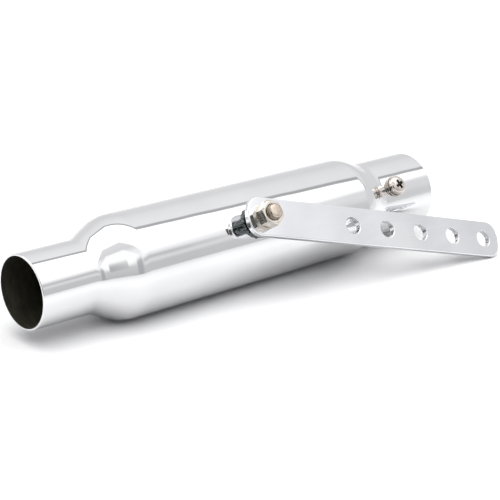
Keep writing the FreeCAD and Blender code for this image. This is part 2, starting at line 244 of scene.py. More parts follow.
def turned_nickel(name, lo, hi, rough, axis_turn=(0, 0, 0)):
    """Turned, nickel-plated steel with stain, grime spots and a fine bumpy surface."""
    t = Tree(name)
    stain = t.noise(230, 4.0, 0.6)
    col = t.ramp(stain, [(0.34, lo), (0.52, tuple((a + b) / 2 for a, b in zip(lo, hi))), (0.68, hi)])
    grime = t.span(t.noise(520, 5.0, 0.7), 0.56, 0.74, 0.0, 0.55)
    col = t.mix(grime, col, tuple(v * 0.42 for v in lo))
    r = t.span(t.noise(420, 3.0), 0.35, 0.7, rough * 0.7, rough * 1.6)
    fine = t.noise(2600, 3.0, 0.6)
    n = t.bump(fine, 0.16, 0.00008)
    return t.set(color=col, metal=1.0, rough=r, normal=n)


def raw_steel(name, lo, hi, rough, metal=1.0, streak=(1, 1, 1), soot=0.35):
    t = Tree(name)
    v = t.scaled(streak)
    base = t.noise(120, 5.0, 0.62, v)
    col = t.ramp(base, [(0.30, lo), (0.70, hi)])
    spots = t.span(t.noise(46, 4.0, 0.6), 0.46, 0.68, 0.0, soot)
    col = t.mix(spots, col, tuple(x * 0.35 for x in lo))
    r = t.span(t.noise(300, 3.0), 0.3, 0.7, rough * 0.8, min(1.0, rough * 1.25))
    n = t.bump(t.noise(900, 4.0, 0.6, v), 0.22, 0.0002)
    return t.set(color=col, metal=metal, rough=r, normal=n)


def fibre(name):
    t = Tree(name)
    strand = t.noise(70, 6.0, 0.7, t.scaled((1.0, 9.0, 9.0), (0.4, 0.2, 0.1)), 1.5)
    col = t.ramp(strand, [(0.30, (0.46, 0.42, 0.31)), (0.55, (0.72, 0.69, 0.58)), (0.75, (0.86, 0.84, 0.76))])
    n = t.bump(strand, 0.7, 0.0012)
    return t.set(color=col, metal=0.0, rough=0.95, normal=n, sheen=0.25, sheen_rough=0.6)


M_SHELL = chrome_plate("shell_chrome_plate", (0.845, 0.850, 0.865), (0.890, 0.892, 0.900), 0.045, 0.10, 0.010)
M_STRAP = chrome_plate("strap_chrome_plate", (0.840, 0.846, 0.878), (0.935, 0.938, 0.958), 0.115, 0.22, 0.030)
# boss and weld bead: chrome given a nearly black base colour, painted shade and painted dark reflection under the strap
M_BOSS_PAINTED_SHADE = chrome_plate("boss_chrome_painted_shade", (0.050, 0.060, 0.059), (0.115, 0.128, 0.127), 0.12, 0.10, 0.05, dark=(0.022, 0.026, 0.025))
M_WELD_PAINTED_SHADE = chrome_plate("weld_chrome_painted_shade", (0.045, 0.053, 0.051), (0.12, 0.13, 0.128), 0.20, 0.30, 0.10, dark=(0.015, 0.018, 0.017))
M_NUT = turned_nickel("nut_nickel", (0.70, 0.64, 0.56), (0.93, 0.89, 0.82), 0.17)
M_STUD = turned_nickel("stud_nickel", (0.55, 0.45, 0.37), (0.80, 0.70, 0.60), 0.22)
M_WASHER = turned_nickel("washer_nickel", (0.56, 0.52, 0.47), (0.74, 0.71, 0.66), 0.22)
M_SCREW = turned_nickel("screw_nickel", (0.66, 0.59, 0.54), (0.86, 0.80, 0.76), 0.15)
# dark steel for the screw's cross recess: painted shade
M_RECESS_PAINTED_SHADE = raw_steel("recess_painted_shade", (0.05, 0.045, 0.042), (0.14, 0.125, 0.115), 0.45, 1.0, (1, 1, 1), 0.5)
# darker copy of the nickel for threads and the nut's bore: painted shade
M_THREAD_PAINTED_SHADE = turned_nickel("thread_nickel_painted_shade", (0.20, 0.165, 0.14), (0.42, 0.36, 0.30), 0.30)
# inside of the shell: sooty raw steel, made darker still as painted shade inside the tubes
M_BORE_SOOT_AND_SHADE = raw_steel("bore_soot_and_painted_shade", (0.022, 0.021, 0.014), (0.060, 0.056, 0.040), 0.62, 0.35, (3, 1, 1), 0.5)
M_INNER = raw_steel("inner_steel", (0.10, 0.095, 0.085), (0.24, 0.23, 0.21), 0.50, 0.9, (2, 1, 1))
M_BAFFLE = raw_steel("baffle_steel", (0.16, 0.155, 0.145), (0.34, 0.33, 0.31), 0.42, 0.9, (2, 1, 1))
M_ROOT = raw_steel("weld_root_steel", (0.12, 0.11, 0.10), (0.38, 0.36, 0.33), 0.50, 0.9, (1, 4, 4))
M_FIBRE = fibre("glass_wool")


# ------------------------------------------------------------------ mesh helpers
def finish_piece(ob, body, slot, *replaced):
    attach(ob, body)
    if replaced:
        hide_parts(*replaced)
    return ob


def add_object(name, me):
    ob = bpy.data.objects.new(name, me)
    scene.collection.objects.link(ob)
    return ob


def path(pts, radii, step=2.0, arc=4.0):
    """Closed polyline in a plane, corners rounded.  Returns runs (p0, n0, p1, n1) with outward normals."""
    P = [np.array(p, float) for p in pts]
    n = len(P)
    area = sum(P[i][0] * P[(i + 1) % n][1] - P[(i + 1) % n][0] * P[i][1] for i in range(n))
    side = 1.0 if area > 0 else -1.0

    def normal(d):
        return np.array([d[1], -d[0]]) * side

    corners = []
    for i in range(n):
        p, a, b = P[i], unit(P[i - 1] - P[i]), unit(P[(i + 1) % n] - P[i])
        r = radii[i]
        if r <= 0:
            corners.append((p, p, None, 0))
            continue
        half = math.acos(max(-1, min(1, float(a @ b)))) / 2
        t = r / math.tan(half)
        c = p + unit(a + b) * (r / math.sin(half))
        corners.append((p + a * t, p + b * t, c, r))
    runs = []
    for i in range(n):
        s, e, c, r = corners[i]
        if c is not None:
            n_in = normal(unit(P[i] - P[i - 1]))
            sign = 1.0 if (s - c) @ n_in > 0 else -1.0
            a0, a1 = math.atan2(*(s - c)[::-1]), math.atan2(*(e - c)[::-1])
            da = (a1 - a0 + math.pi) % (2 * math.pi) - math.pi
            k = max(3, int(math.ceil(abs(math.degrees(da)) / arc)), int(abs(da) * r / step))
            q = [c + r * np.array([math.cos(a0 + da * j / k), math.sin(a0 + da * j / k)]) for j in range(k + 1)]
            for j in range(k):
                runs.append((q[j], sign * (q[j] - c) / r, q[j + 1], sign * (q[j + 1] - c) / r))
        s2 = corners[(i + 1) % n][0]
        L = np.linalg.norm(s2 - e)
        if L > 1e-6:
            k = max(1, int(math.ceil(L / step)))
            m = normal((s2 - e) / L)
            for j in range(k):
                runs.append((e + (s2 - e) * j / k, m, e + (s2 - e) * (j + 1) / k, m))
    return runs


def lathe(name, runs, M, mats, seg=192, pick=None, along="x", wobble=None):
    """Revolves the runs' (axial, radial) points about the local X or Z axis, with exact normals."""
    th = np.linspace(0, 2 * math.pi, seg, endpoint=False)
    c, s = np.cos(th), np.sin(th)
    keys, verts = {}, []

    def ring_of(p):
        k = (round(p[0], 5), round(p[1], 5))
        if k not in keys:
            keys[k] = len(verts)
            if abs(p[1]) < 1e-6:
                verts.append((p[0], 0, 0))
            else:
                verts.extend(zip([p[0]] * seg, p[1] * c, p[1] * s))
        return keys[k], abs(p[1]) < 1e-6

    faces, norms, idx = [], [], []
    for p0, n0, p1, n1 in runs:
        a, pa = ring_of(p0)
        b, pb = ring_of(p1)
        if pa and pb:
            continue
        m = pick(0.5 * (p0 + p1), 0.5 * (n0 + n1)) if pick else 0
        for j in range(seg):
            k = (j + 1) % seg
            va, vb = (n0[0], n0[1] * c[j], n0[1] * s[j]), (n1[0], n1[1] * c[j], n1[1] * s[j])
            vc, vd = (n1[0], n1[1] * c[k], n1[1] * s[k]), (n0[0], n0[1] * c[k], n0[1] * s[k])
            if pa:
                faces.append((a, b + j, b + k))
                norms.extend((va, vb, vc))
            elif pb:
                faces.append((a + j, b, a + k))
                norms.extend((va, vb, vd))
            else:
                faces.append((a + j, b + j, b + k, a + k))
                norms.extend((va, vb, vc, vd))
            idx.append(m)
    V, F, NN = np.array(verts, float), faces, np.array(norms, float)
    if along == "z":
        V, NN = V[:, [1, 2, 0]], NN[:, [1, 2, 0]]
    f = F[len(F) // 2]
    start = sum(len(q) for q in F[:len(F) // 2])
    g = np.cross(V[f[1]] - V[f[0]], V[f[2]] - V[f[0]])
    if g @ NN[start] < 0:
        out, pos = [], 0
        flipped = np.empty_like(NN)
        for q in F:
            L = len(q)
            out.append(tuple(reversed(q)))
            flipped[pos:pos + L] = NN[pos:pos + L][::-1]
            pos += L
        F, NN = out, flipped
    R3 = np.array(M.to_3x3())
    W = (V @ R3.T + np.array(M.translation)) * MM
    if wobble is not None:
        W = wobble(W)
    me = bpy.data.meshes.new(name)
    me.from_pydata(W.tolist(), [], F)
    me.polygons.foreach_set("use_smooth", [True] * len(F))
    me.polygons.foreach_set("material_index", idx)
    for mt in mats:
        me.materials.append(mt)
    me.update()
    me.normals_split_custom_set((NN @ R3.T).tolist())
    return add_object(name, me)


def plain_mesh(name, verts, faces, M, mats, sharp=32.0, idx=None, merge=True):
    R3 = np.array(M.to_3x3())
    W = (np.array(verts, float) @ R3.T + np.array(M.translation)) * MM
    me = bpy.data.meshes.new(name)
    me.from_pydata(W.tolist(), [], faces)
    if idx is not None:
        me.polygons.foreach_set("material_index", idx)
    bm = bmesh.new()
    bm.from_mesh(me)
    if merge:
        bmesh.ops.remove_doubles(bm, verts=bm.verts, dist=1e-7)
    bmesh.ops.recalc_face_normals(bm, faces=bm.faces)
    bm.to_mesh(me)
    bm.free()
    me.polygons.foreach_set("use_smooth", [True] * len(me.polygons))
    me.set_sharp_from_angle(angle=math.radians(sharp))
    for mt in mats:
        me.materials.append(mt)
    me.update()
    return add_object(name, me)


def grid_faces(rows, cols, wrap_rows=False, wrap_cols=True):
    out = []
    for i in range(rows if wrap_rows else rows - 1):
        for j in range(cols if wrap_cols else cols - 1):
            a, b = i * cols + j, ((i + 1) % rows) * cols + j
            k = (j + 1) % cols
            out.append((a, i * cols + k, ((i + 1) % rows) * cols + k, b))
    return out


def apply_modifiers(ob):
    dg = bpy.context.evaluated_depsgraph_get()
    bpy.context.view_layer.update()
    me = bpy.data.meshes.new_from_object(ob.evaluated_get(dg), preserve_all_data_layers=True, depsgraph=dg)
    old = ob.data
    ob.modifiers.clear()
    ob.data = me
    bpy.data.meshes.remove(old)
    return ob


def thread_r(theta, z, major, pitch, depth):
    """Radius of a 60 degree thread's flank at an angle and height; crest at z = pitch * turn."""
    t = np.abs(((z / pitch - theta / (2 * math.pi)) + 0.5) % 1.0 - 0.5) * pitch
    return np.clip(major - (t - pitch / 16) * 1.732, major - depth, major)


def threaded_rod(name, M, z0, z1, major, pitch, depth, mats, top="dome", seg=96, per=14, plain_below=None, dome=0.42):
    th = np.linspace(0, 2 * math.pi, seg, endpoint=False)
    nz = int(round((z1 - z0) / pitch * per)) + 1
    zs = np.linspace(z0, z1, nz)
    rings = []
    for z in zs:
        r = thread_r(th, z, major, pitch, depth)
        r = np.minimum(r, major - depth + (z1 - z) * 1.3)                 # end chamfer
        r = np.minimum(r, major - depth * 1.1 + (z - z0) * 1.0)
        if plain_below is not None and z < plain_below:
            r = np.full(seg, major)
            r = np.minimum(r, major - 0.4 + (z - z0) * 1.0)
        rings.append(np.stack([r * np.cos(th), r * np.sin(th), np.full(seg, z)], 1))
    r_end = float(np.mean(np.hypot(rings[-1][:, 0], rings[-1][:, 1])))
    if top == "dome":
        for k in range(1, 9):
            a = math.radians(90 * k / 9)
            rr, zz = r_end * math.cos(a) ** 0.6, z1 + dome * math.sin(a)
            if k == 8:
                rr, zz = 0.25, z1 + dome
            rings.append(np.stack([rr * np.cos(th), rr * np.sin(th), np.full(seg, zz)], 1))
    else:
        for rr, zz in ((r_end - 0.15, z1 + 0.08), (0.3, z1 + 0.08)):
            rings.append(np.stack([rr * np.cos(th), rr * np.sin(th), np.full(seg, zz)], 1))
    V = np.concatenate(rings)
    F = grid_faces(len(rings), seg)
    nv = len(V)
    V = np.vstack([V, [[0, 0, V[-1][2]], [0, 0, z0]]])
    last = (len(rings) - 1) * seg
    F += [(last + j, last + (j + 1) % seg, nv) for j in range(seg)]
    F += [((j + 1) % seg, j, nv + 1) for j in range(seg)]
    ob = plain_mesh(name, V, F, M, mats, 40)
    if len(mats) > 1:                                                      # the flanks take the second finish, a darker nickel that is painted shade in the threads
        idx = [1 if z0 + 0.3 < sum(V[i][2] for i in f) / len(f) < z1 - 0.25 else 0 for f in F]
        ob.data.polygons.foreach_set("material_index", idx)
    return ob


def polar_solid(name, angles, rings, M, mats, sharp=30.0):
    """rings: list of (r array, z array) round a closed section; each ring is one loop over the angles."""
    c, s = np.cos(angles), np.sin(angles)
    V = np.concatenate([np.stack([r * c, r * s, z * np.ones_like(c)], 1) for r, z in rings])
    return plain_mesh(name, V, grid_faces(len(rings), len(angles), wrap_rows=True), M, mats, sharp)


def split_washer(name, M, ro, ri, z0, h, gap_at, gap_deg, mats, lift=0.0):
    """Split spring washer: square section with eased edges, cut at a slant."""
    e = 0.22
    sec = []
    for (r, z, a0) in ((ro - e, z0 + h - e, 0), (ri + e, z0 + h - e, 90), (ri + e, z0 + e, 180), (ro - e, z0 + e, 270)):
        for k in range(5):
            a = math.radians(a0 + 90 * k / 4)
            sec.append((r + e * math.cos(a), z + e * math.sin(a)))
    n = 120
    a = np.radians(gap_at + gap_deg / 2 + np.linspace(0, 360 - gap_deg, n))
    V = []
    for i, t in enumerate(a):
        for r, z in sec:
            slant = (z - z0 - h / 2) * 0.45 / r
            k = 1.0 if i == 0 else (1.0 if i == n - 1 else 0.0)
            tt = t + slant * k
            V.append((r * math.cos(tt), r * math.sin(tt), z + lift * (i / (n - 1) - 0.5)))
    m = len(sec)
    F = grid_faces(n, m)
    F += [tuple(range(m)), tuple((n - 1) * m + k for k in reversed(range(m)))]
    return plain_mesh(name, V, F, M, mats, 30)


def flat_washer(name, M, ro, ri, z0, h, mats, e=0.25, seg=128):
    runs = path([(z0, ro), (z0 + h, ro), (z0 + h, ri), (z0, ri)], [e * 0.6, e, e * 0.6, e * 0.6], 1.0, 15)
    return lathe(name, runs, M, mats, seg, along="z")


# ------------------------------------------------------------------ camera
cam_data = bpy.data.cameras.new("camera")
cam_data.lens = 103.209
cam_data.sensor_width = 36.0
cam_data.sensor_fit = "HORIZONTAL"
cam_data.clip_start, cam_data.clip_end = 0.02, 50.0
camera = bpy.data.objects.new("camera", cam_data)
scene.collection.objects.link(camera)
right, up, back = unit((0.74106194, -0.67024844, 0.03992784)), unit((0.20762521, 0.28530134, 0.93567885)), unit((-0.63852876, -0.68510597, 0.35058643))
camera.matrix_world = Matrix(((right[0], up[0], back[0], -0.40875156), (right[1], up[1], back[1], -0.62275609), (right[2], up[2], back[2], 0.30581127), (0, 0, 0, 1)))
scene.camera = camera


# ------------------------------------------------------------------ studio: floor and a light tent overhead
def make_floor():
    me = bpy.data.meshes.new("studio_floor")
    bm = bmesh.new()
    bmesh.ops.create_grid(bm, x_segments=8, y_segments=8, size=4.0)
    for v in bm.verts:
        v.co.z = FLOOR - 0.00003
        v.co.x += 0.15
    bm.to_mesh(me)
    bm.free()
    t = Tree("floor_paper")
    grain = t.noise(900, 3.0)
    paper = t.ramp(grain, [(0.3, (0.885, 0.885, 0.89)), (0.7, (0.905, 0.905, 0.91))])
    # painted light: for all but camera rays the paper's colour is multiplied by a painted pool of light that dims away
    # from the object, with painted shadow right at the contact; only its reflections show
    xyz = t.node("ShaderNodeSeparateXYZ")
    t.link(t.co, xyz.inputs[0])
    dx = t.math("MAXIMUM", t.math("SUBTRACT", t.math("ABSOLUTE", t.math("SUBTRACT", xyz.outputs[0], 0.16)), 0.12), 0.0)
    dist = t.math("SQRT", t.math("ADD", t.math("MULTIPLY", dx, dx), t.math("MULTIPLY", xyz.outputs[1], xyz.outputs[1])))
    painted_light_falloff = t.ramp(t.math("DIVIDE", dist, 4.0), [(0.0, 0.7), (0.03, 0.92), (0.05, 0.9), (0.1, 0.8), (0.25, 0.7), (1.0, 0.6)])
    seen = t.node("ShaderNodeLightPath").outputs["Is Camera Ray"]
    tone = t.mix(1.0, paper, t.mix(seen, painted_light_falloff, (1.0, 1.0, 1.0)), "MULTIPLY")
    me.materials.append(t.set(color=tone, metal=0.0, rough=0.9, spec=0.1, normal=t.bump(grain, 0.05, 0.0001)))
    ob = add_object("studio_floor", me)
    return ob


make_floor()


def make_world():
    w = bpy.data.worlds.new("light_tent")
    scene.world = w
    w.use_nodes = True
    nt = w.node_tree
    nt.nodes.clear()

    def nd(kind, **p):
        n = nt.nodes.new(kind)
        for k, v in p.items():
            setattr(n, k, v)
        return n

    def mt(op, a, b=None, clamp=False):
        n = nd("ShaderNodeMath", operation=op, use_clamp=clamp)
        for i, v in enumerate((a, b)):
            if v is None:
                continue
            if isinstance(v, (int, float)):
                n.inputs[i].default_value = v
            else:
                nt.links.new(v, n.inputs[i])
        return n.outputs[0]

    def step(v, lo, hi):
        n = nd("ShaderNodeMapRange", interpolation_type="SMOOTHSTEP", clamp=True)
        n.inputs["From Min"].default_value, n.inputs["From Max"].default_value = lo, hi
        nt.links.new(v, n.inputs["Value"])
        return n.outputs["Result"]

    def ramp(fac, stops):
        r = nd("ShaderNodeValToRGB")
        el = r.color_ramp.elements
        while len(el) > 1:
            el.remove(el[-1])
        el[0].position, el[0].color = stops[0][0], (*[stops[0][1]] * 3, 1)
        for p, c in stops[1:]:
            el.new(p).color = (c, c, c * 1.01, 1)
        nt.links.new(fac, r.inputs["Fac"])
        return r.outputs["Color"]

    def mix(fac, a, b):
        m = nd("ShaderNodeMix", data_type="RGBA")
        for name, v in (("Factor", fac), ("A", a), ("B", b)):
            s = next(i for i in m.inputs if i.name == name and i.type == ("VALUE" if name == "Factor" else "RGBA"))
            if isinstance(v, (int, float)):
                s.default_value = v
            elif isinstance(v, tuple):
                s.default_value = (*v, 1)
            else:
                nt.links.new(v, s)
        return next(o for o in m.outputs if o.type == "RGBA")

    tc = nd("ShaderNodeTexCoord")
    sx = nd("ShaderNodeSeparateXYZ")
    nt.links.new(tc.outputs["Generated"], sx.inputs[0])
    x, y, z = sx.outputs
    zc = mt("MAXIMUM", z, 0.02)
    # a runs to the camera's right and b away from it, over height, on the tent's ceiling
    a = mt("DIVIDE", mt("ADD", mt("MULTIPLY", x, 0.741), mt("MULTIPLY", y, -0.671)), zc)
    b = mt("DIVIDE", mt("ADD", mt("MULTIPLY", x, 0.671), mt("MULTIPLY", y, 0.741)), zc)
    hb = mt("ADD", mt("MULTIPLY", x, 0.671), mt("MULTIPLY", y, 0.741))
    # walls: front (towards the camera) and back, by height
    front_l = ramp(z, [(0.0, 0.55), (0.3, 0.65), (0.4, 0.85), (0.55, 1.0), (0.75, 0.95), (0.85, 0.75), (1.0, 0.85)])
    front_m = ramp(z, [(0.0, 0.6), (0.2, 0.6), (0.3, 0.8), (0.4, 0.55), (0.5, 1.0), (0.6, 1.1), (1.0, 0.95)])
    front_r = ramp(z, [(0.0, 0.6), (0.25, 0.65), (0.4, 0.95), (0.5, 1.3), (0.6, 1.2), (0.8, 1.0), (1.0, 0.9)])
    front = mix(step(x, 0.58, 0.70), mix(step(x, 0.22, 0.42), front_l, front_m), front_r)
    post = mt("MULTIPLY", mt("MULTIPLY", step(x, 0.02, 0.10), mt("SUBTRACT", 1.0, step(x, 0.24, 0.34))), mt("SUBTRACT", 1.0, step(z, 0.50, 0.62)))
    front = mix(mt("MULTIPLY", post, 0.8), front, (0.42, 0.42, 0.44))
    rear = ramp(z, [(0.0, 0.95), (0.1, 0.75), (0.4, 0.75), (0.6, 0.85), (1.0, 1.0)])
    walls = mix(step(hb, -0.12, 0.12), front, rear)
    # ceiling panels: a main one, a nearer one, and the dark frame at the main one's far edge
    inside_a = mt("SUBTRACT", 1.0, step(a, 0.95, 1.75))
    main = mt("MULTIPLY", mt("MULTIPLY", step(b, -0.36, -0.26), mt("SUBTRACT", 1.0, step(b, 0.50, 0.56))), inside_a)
    near = mt("MULTIPLY", mt("SUBTRACT", 1.0, step(b, -0.74, -0.64)), inside_a)
    high = step(z, 0.30, 0.50)
    near = mt("MULTIPLY", near, high)
    line = mt("MULTIPLY", mt("MULTIPLY", step(b, 0.53, 0.57), mt("SUBTRACT", 1.0, step(b, 0.62, 0.68))), mt("SUBTRACT", 1.0, step(a, 1.6, 1.9)))
    col = mix(mt("MULTIPLY", line, 0.75), walls, (0.30, 0.30, 0.31))
    col = mix(near, col, (1.12, 1.12, 1.12))
    col = mix(main, col, (1.7, 1.7, 1.7))
    # the black cloth round the lens
    lens = mt("ADD", mt("ADD", mt("MULTIPLY", x, -0.6385), mt("MULTIPLY", y, -0.6851)), mt("MULTIPLY", z, 0.3506))
    col = mix(mt("MULTIPLY", step(lens, 0.912, 0.955), 0.94), col, (0.03, 0.035, 0.033))
    # past the floor's edge the room goes on in the floor's far tone
    col = mix(step(z, -0.02, 0.0), (0.60, 0.60, 0.61), col)
    bg = nd("ShaderNodeBackground")
    nt.links.new(col, bg.inputs["Color"])
    plain = nd("ShaderNodeBackground")
    plain.inputs["Color"].default_value = (1, 1, 1, 1)
    lp = nd("ShaderNodeLightPath")
    dim = nd("ShaderNodeBackground")
    dim.inputs["Strength"].default_value = 0.45
    nt.links.new(col, dim.inputs["Color"])
    mg = nd("ShaderNodeMixShader")
    nt.links.new(lp.outputs["Is Glossy Ray"], mg.inputs[0])
    nt.links.new(dim.outputs[0], mg.inputs[1])
    nt.links.new(bg.outputs[0], mg.inputs[2])
    mx = nd("ShaderNodeMixShader")
    nt.links.new(lp.outputs["Is Camera Ray"], mx.inputs[0])
    nt.links.new(mg.outputs[0], mx.inputs[1])
    nt.links.new(plain.outputs[0], mx.inputs[2])
    out = nd("ShaderNodeOutputWorld")
    nt.links.new(mx.outputs[0], out.inputs[0])


make_world()

sun_data = bpy.data.lights.new("overhead_fill", "SUN")
sun_data.energy = 2.9
sun_data.angle = math.radians(75)
sun = bpy.data.objects.new("overhead_fill", sun_data)
sun.rotation_euler = (math.radians(14), math.radians(-8), 0)
sun.visible_glossy = False
scene.collection.objects.link(sun)
scene.view_settings.view_transform = "Standard"
scene.view_settings.look = "None"
scene.view_settings.exposure = 0.0
scene.view_settings.gamma = 1.0

# ------------------------------------------------------------------ shell: two formed cones and the body tube
ta, tb = math.radians(26.5), math.radians(22.5)
XA, XB = 41.0, 251.8
x2a, x2b = XA + (RB - R_IN) / math.tan(ta), XB + (RB - R_OUT) / math.tan(tb)
ka, kb = WALL * math.tan(ta / 2), WALL * math.tan(tb / 2)


# faces turned inwards take the bore finish, partly soot and partly painted shade
def outside(p, n):
    return 1 if n[1] < -0.2 else 0


runs = path([(0, R_IN - WALL), (0, R_IN), (XA, R_IN), (x2a, RB), (SEAM_A, RB), (SEAM_A, RB - WALL), (x2a + ka, RB - WALL), (XA + ka, R_IN - WALL)],
            [0.12, 0.55, 18.0, 30.0, 0, 0, 28.8, 19.2], 1.5, 2.0)
finish_piece(lathe("inlet_neck_and_cone", runs, ROW, [M_SHELL, M_BORE_SOOT_AND_SHADE], 256, outside), "muffler", "shell_chrome", "inlet_cone")
runs = path([(SEAM_A, RB - WALL), (SEAM_A, RB), (SEAM_B, RB), (SEAM_B, RB - WALL)], [0, 0, 0, 0], 2.0)
finish_piece(lathe("body_tube", runs, ROW, [M_SHELL, M_BORE_SOOT_AND_SHADE], 256, outside), "muffler", "shell_chrome", "body_shell")
runs = path([(SEAM_B, RB - WALL), (SEAM_B, RB), (XB, RB), (x2b, R_OUT), (LEN, R_OUT), (LEN, R_OUT - WALL), (x2b - kb, R_OUT - WALL), (XB - kb, RB - WALL)],
            [0, 0, 24.0, 22.0, 0.5, 0.45, 23.2, 22.8], 1.5, 2.0)
finish_piece(lathe("outlet_cone_and_neck", runs, ROW, [M_SHELL, M_BORE_SOOT_AND_SHADE], 256, outside), "muffler", "shell_chrome", "outlet_cone")

# ------------------------------------------------------------------ boss, its weld and the threaded stud
BOSS_R, STUD_R = 8.0, 4.93
top = FACE_H - STRAP_T


def skin(r, a):
    return np.sqrt((RB + 0.03) ** 2 - (r * np.sin(a)) ** 2)


ang = np.linspace(0, 2 * math.pi, 128, endpoint=False)
one = np.ones_like(ang)
rings = []
for k in range(9):
    f = k / 8
    rings.append((BOSS_R * one, skin(BOSS_R, ang) * (1 - f) + (top - 0.6) * f))
for k in range(1, 5):
    t = math.radians(90 * k / 4)
    rings.append(((BOSS_R - 0.6 + 0.6 * math.cos(t)) * one, (top - 0.6 + 0.6 * math.sin(t)) * one))
rings += [(6.4 * one, top * one), (5.3 * one, top * one), (4.97 * one, (top - 0.3) * one), (4.97 * one, (top - 3) * one), (4.97 * one, skin(4.97, ang)), (6.5 * one, skin(6.5, ang))]
finish_piece(polar_solid("strap_boss", ang, rings, AT_BOSS, [M_BOSS_PAINTED_SHADE], 34), "muffler", "boss_chrome", "mount_boss")

bead = []
nb, nsec = 260, 18
for i in range(nb):
    a = 2 * math.pi * i / nb
    ripple = 0.5 + 0.5 * math.cos(a * 21 + 0.6 * math.sin(a * 5))
    lump = 0.16 * math.sin(a * 3 + 1.0) + 0.12 * math.sin(a * 8 + 2.2) + 0.10 * math.sin(a * 13)
    rad = 1.05 + 0.28 * ripple + 0.5 * lump
    rc = BOSS_R + 0.62 + 0.25 * lump
    for k in range(nsec):
        t = 2 * math.pi * k / nsec
        r = rc + rad * math.cos(t)
        base = math.sqrt((RB - 0.05) ** 2 - (min(r, 30) * math.sin(a)) ** 2)
        z = base + 0.40 + 0.85 * rad * math.sin(t)
        if math.sin(t) < 0:
            z = max(z, base - 0.30)
        r = max(r, BOSS_R - 0.35)
        bead.append((r * math.cos(a), r * math.sin(a), z))
# the bead's nearly black chrome is painted shade under the strap
finish_piece(plain_mesh("boss_weld_bead", bead, grid_faces(nb, nsec, wrap_rows=True), AT_BOSS, [M_WELD_PAINTED_SHADE], 60), "muffler", "boss_chrome", "boss_weld")

root_r = RB - WALL - 2.0
stud = threaded_rod("threaded_stud", AT_STUD, root_r - FACE_H, 11.7 - 0.42, STUD_R, 1.5, 0.92, [M_STUD, M_THREAD_PAINTED_SHADE], plain_below=-STRAP_T - 1.5)
finish_piece(stud, "muffler", "hardware_nickel", "mount_stud")


# ------------------------------------------------------------------ hanger strap
END_R, CORNER_R = 19.0, 9.0                                # crown of each end, and its corners


def strap_outline(tip_free, tip_pivot, hw):
    """Points and outward normals of the strap: straight sides, ends of a crown arc between two corner arcs."""
    fi = math.asin((hw - CORNER_R) / (END_R - CORNER_R))
    back = END_R - math.sqrt((END_R - CORNER_R) ** 2 - (hw - CORNER_R) ** 2)
    out = []
    for tip, sign in ((tip_free, 1.0), (tip_pivot, -1.0)):
        arcs = ((tip - back, CORNER_R - hw, CORNER_R, -math.pi / 2, -fi, 22), (tip - END_R, 0.0, END_R, -fi, fi, 16),
                (tip - back, hw - CORNER_R, CORNER_R, fi, math.pi / 2, 22))
        for i, (cx, cy, r, a0, a1, n) in enumerate(arcs):
            for k in range(0 if i == 0 else 1, n + 1):
                a = a0 + (a1 - a0) * k / n
                c, s = math.cos(a), math.sin(a)
                out.append(((sign * (cx + r * c), sign * (cy + r * s)), (sign * c, sign * s)))
    return out


def circle(cx, r, n=56):
    out = []
    for k in range(n):
        a = -2 * math.pi * k / n
        out.append(((cx + r * math.cos(a), r * math.sin(a)), (-math.cos(a), -math.sin(a))))
    return out


pitch = float(np.linalg.norm(H5 - H1)) / 4
first = float(np.dot(H1 - PIV, S))
TIP = first + 4 * pitch + 14.0


def make_strap():
    loops = [(strap_outline(TIP, 12.5, STRAP_W / 2), 0.8)] + [(circle(0.0, 5.25), 0.3)] + [(circle(first + pitch * i, 5.5), 0.55) for i in range(5)]
    V, NV, F, FN = [], [], [], []
    tops, bots = [], []
    T = STRAP_T
    for loop, e in loops:
        n = len(loop)
        rings = []
        prof = []
        for k in range(7):
            t = math.radians(90 * k / 6)
            prof.append((e * (1 - math.sin(t)), -e * (1 - math.cos(t)), math.sin(t), math.cos(t)))
        for k in range(7):
            t = math.radians(90 * k / 6)
            prof.append((e * (1 - math.cos(t)), -T + e - e * math.sin(t), math.cos(t), -math.sin(t)))
        for inset, z, nr, nz in prof:
            start = len(V)
            for (p, d) in loop:
                V.append((p[0] - d[0] * inset, p[1] - d[1] * inset, z))
                NV.append((d[0] * nr, d[1] * nr, nz))
            rings.append(start)
        for i in range(len(rings) - 1):
            for j in range(n):
                k = (j + 1) % n
                F.append((rings[i] + j, rings[i + 1] + j, rings[i + 1] + k, rings[i] + k))
        tops.append(list(range(rings[0], rings[0] + n)))
        bots.append(list(range(rings[-1], rings[-1] + n)))
    for group, up_side in ((tops, True), (bots, False)):
        flat = [i for g in group for i in g]
        tris = tessellate_polygon([[Vector((V[i][0], V[i][1], 0)) for i in g] for g in group])
        for t in tris:
            f = tuple(flat[i] for i in t)
            a, b, c = (np.array(V[i]) for i in f)
            cr = np.cross(b - a, c - a)[2]
            if abs(cr) < 1e-9:
                continue
            if (cr > 0) != up_side:
                f = f[::-1]
            F.append(f)
    R3 = np.array(AT_STUD.to_3x3())
    Wd = (np.array(V) @ R3.T + np.array(AT_STUD.translation)) * MM
    me = bpy.data.meshes.new("hanger_strap")
    me.from_pydata(Wd.tolist(), [], F)
    me.polygons.foreach_set("use_smooth", [True] * len(F))
    me.materials.append(M_STRAP)
    me.update()
    # winding follows the analytic normals
    NW = np.array(NV) @ R3.T
    bm = bmesh.new()
    bm.from_mesh(me)
    bm.faces.ensure_lookup_table()
    flip = [f for f in bm.faces if f.normal.dot(Vector(NW[f.verts[0].index] + NW[f.verts[1].index] + NW[f.verts[2].index])) < 0]
    bmesh.ops.reverse_faces(bm, faces=flip)
    bm.to_mesh(me)
    bm.free()
    me.polygons.foreach_set("use_smooth", [True] * len(me.polygons))
    me.normals_split_custom_set_from_vertices(NW.tolist())
    return add_object("hanger_strap", me)


finish_piece(make_strap(), "bracket", "bracket_chrome", "bracket_strap")

# ------------------------------------------------------------------ washer and nut on the stud
finish_piece(split_washer("stud_spring_washer", AT_STUD, 8.2, 5.2, 0.0, 1.2, 100, 9.0, [M_WASHER]), "bracket_washer", "hardware_nickel", "bracket_spring_washer")


